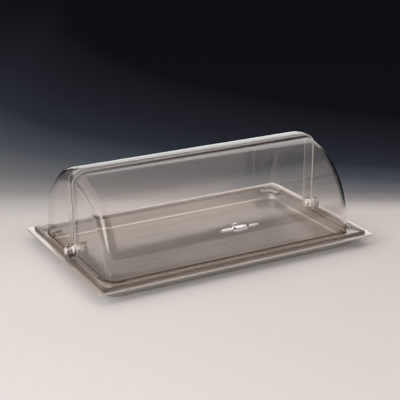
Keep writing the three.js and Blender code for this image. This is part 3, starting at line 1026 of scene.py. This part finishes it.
bpy.ops.mesh.primitive_plane_add(size=2, location=(0, (SHEET_FRONT + SHEET_BACK) / 2, 0))
floor = bpy.context.object
floor.name = "studio_sheet"
floor.scale = (SHEET_HALF_WIDTH, (SHEET_BACK - SHEET_FRONT) / 2, 1)
settle(floor)
start_edit(floor)
at_back = SHEET_BACK - MM
select("EDGE", lambda edge: all(end.co.y > at_back for end in edge.verts))
pull(SHEET_RISE)
select("EDGE", lambda edge: all(end.co.y > at_back and end.co.z < MM for end in edge.verts))
bpy.ops.mesh.bevel(offset=SHEET_BEND, segments=SHEET_BEND_STEPS, affect="EDGES")
end_edit()
lay(floor, Matrix.Rotation(CAMERA_AZIMUTH, 4, "Z"), (0, 0, -SHEET_DROP))
report(smooth(floor))

# %% [markdown]
# The sheet's colour follows its depth away from the camera, and on the wall its height as well.
# Both sides are even at one depth behind the object. From there it darkens slowly on the left
# and faster on the right, and that faster grade is painted shade. All that is well over a metre
# from the object is darker too, so that the pale part is a painted pool of light around it.

# %% The sheet's colour
GRADE_HALF_WIDTH = 0.55
GRADE_LEFT = 0.72
GRADE_RIGHT = 2.64
GRADE_EVEN_DEPTH = 0.2
GRADE_EVEN_VALUE = 0.3
PAINTED_POOL_RADIUS = 1.0
GRADE_LENGTH = 2.0
PAPER_DEPTH = 0.1 * MM
sheet = Finish("graded_sheet")


def along(direction):
    """How far a point of the sheet lies along a direction."""
    made = sheet.node("ShaderNodeVectorMath", {"operation": "DOT_PRODUCT"},
                      {0: sheet.place, 1: direction})
    return Wire(sheet, made.outputs["Value"])


depth = along((-math.sin(CAMERA_AZIMUTH), math.cos(CAMERA_AZIMUTH), 1.0))
sideways = along((math.cos(CAMERA_AZIMUTH), math.sin(CAMERA_AZIMUTH), 0))
# The steeper grade on the right paints shade there.
steepness = sheet.node("ShaderNodeMapRange", None, {
    "Value": sideways, "From Min": -GRADE_HALF_WIDTH, "From Max": GRADE_HALF_WIDTH,
    "To Min": GRADE_LEFT, "To Max": GRADE_RIGHT})
slope = Wire(sheet, steepness.outputs["Result"])
behind = (depth - GRADE_EVEN_DEPTH) * slope + GRADE_EVEN_VALUE
# Beyond a metre from the object the sheet darkens, a painted pool of light.
painted_pool_falloff = (depth * depth + sideways * sideways) ** 0.5 - PAINTED_POOL_RADIUS
paper = sheet.noise(500)
graded = sheet.ramp(behind.at_least(painted_pool_falloff) / GRADE_LENGTH, [
    (0.0, (0.72, 0.7, 0.69)), (0.11, (0.66, 0.65, 0.64)), (0.15, (0.52, 0.51, 0.51)),
    (0.19, (0.3, 0.3, 0.315)), (0.24, (0.175, 0.185, 0.2)), (0.33, (0.075, 0.092, 0.115)),
    (0.45, (0.028, 0.036, 0.05)), (0.6, (0.02, 0.022, 0.033)), (1.0, (0.008, 0.008, 0.011)),
])
floor.data.materials.append(sheet.result(sheet.principled(
    Base_Color=graded, Roughness=0.9, Specular_IOR_Level=0.0,
    Normal=sheet.bump(paper, PAPER_DEPTH, 0.2))))

# %% [markdown]
# ## Lamps
# Two wide dim panels behind light nothing and are only seen as mirror images, in the tray and
# as the pale band along the roof. A soft lamp in front lights the floor and the tray's side and
# isn't mirrored. A tall lamp to the left gives the bright line on the rounded corner.

# %% Lamps
def soft_lamp(name, place, width, height, glow, aim, lights=True, mirrored=True):
    """A flat lamp of a given brightness, turned towards a point.

    It can light surfaces, show as a mirror image in glossy ones, or do both.
    """
    data = bpy.data.lights.new(name, "AREA")
    data.shape = "RECTANGLE"
    data.size = width
    data.size_y = height
    data.energy = glow * math.pi * width * height
    lamp = bpy.data.objects.new(name, data)
    lamp.location = place
    lamp.rotation_euler = (Vector(place) - Vector(aim)).to_track_quat("Z", "Y").to_euler()
    lamp.visible_camera = False
    lamp.visible_transmission = False
    lamp.visible_diffuse = lights
    lamp.visible_glossy = mirrored
    bpy.context.scene.collection.objects.link(lamp)
    print(name, "gives", round(data.energy, 1), "W")


soft_lamp("lamp_back", (1.1, 2.0, 0.43), width=2.2, height=0.86, glow=1.7,
          aim=(0, 0, 0.43), lights=False)
soft_lamp("lamp_roof", (1.024, 1.593, 1.128), width=2.2, height=0.66, glow=1.0,
          aim=(0, 0, 0.1), lights=False)
soft_lamp("lamp_front", (-1.0, -2.3, 1.1), width=1.2, height=1.0, glow=4.4,
          aim=(0, 0, 0.05), mirrored=False)
soft_lamp("lamp_left", (-1.95, -0.66, 0.95), width=0.85, height=1.75, glow=6,
          aim=(0, 0, 0.95))

# %% [markdown]
# ## The air of the studio
# The air gives most of the light. It is brightest low to the front right, so the clear front
# shell shows a soft pale veil. It is darker high up behind, on the right and to the front left,
# so the shell and the chrome show darker parts too, and it fades to almost nothing towards the
# horizon. Each patch is a smooth step on the cosine between a direction and its middle.

# %% Air
world = bpy.data.worlds.new("studio_air")
bpy.context.scene.world = world
world.use_nodes = True
air = world.node_tree.nodes
join = world.node_tree.links.new
direction = air.new("ShaderNodeTexCoord").outputs["Generated"]


def patch(towards, begins, full, inside, outside):
    """A soft round patch of the air.

    It is given by its middle direction, the cosines at which it begins and is full, and its
    values inside and outside.
    """
    facing = air.new("ShaderNodeVectorMath")
    facing.operation = "DOT_PRODUCT"
    facing.inputs[1].default_value = Vector(towards).normalized()
    join(direction, facing.inputs[0])
    soft = air.new("ShaderNodeMapRange")
    soft.interpolation_type = "SMOOTHSTEP"
    for socket, value in (("From Min", begins), ("From Max", full),
                          ("To Min", outside), ("To Max", inside)):
        soft.inputs[socket].default_value = value
    join(facing.outputs["Value"], soft.inputs["Value"])
    return soft.outputs["Result"]


def product(first, second):
    """The two values of the air multiplied."""
    made = air.new("ShaderNodeMath")
    made.operation = "MULTIPLY"
    join(first, made.inputs[0])
    join(second, made.inputs[1])
    return made.outputs[0]


veil = patch((0.45, -0.8, 0.4), begins=0.5, full=0.95, inside=1.6, outside=0.95)
dark_left = patch((-0.4, -0.85, 0.35), begins=0.65, full=0.92, inside=0.05, outside=1.0)
dark_above = patch((0.4, 0.4, 0.82), begins=0.82, full=0.97, inside=0.42, outside=1.0)
dark_right = patch((0.95, -0.1, 0.25), begins=0.65, full=0.92, inside=0.1, outside=1.0)
over_floor = patch((0, 0, 1), begins=0.1, full=0.3, inside=1.0, outside=0.004)
level = product(product(product(veil, dark_left), product(dark_above, dark_right)), over_floor)
air["Background"].inputs["Color"].default_value = (1, 0.918, 0.872, 1)
join(level, air["Background"].inputs["Strength"])

bpy.context.scene.view_settings.view_transform = "Standard"
print("the air has", len(air), "nodes")
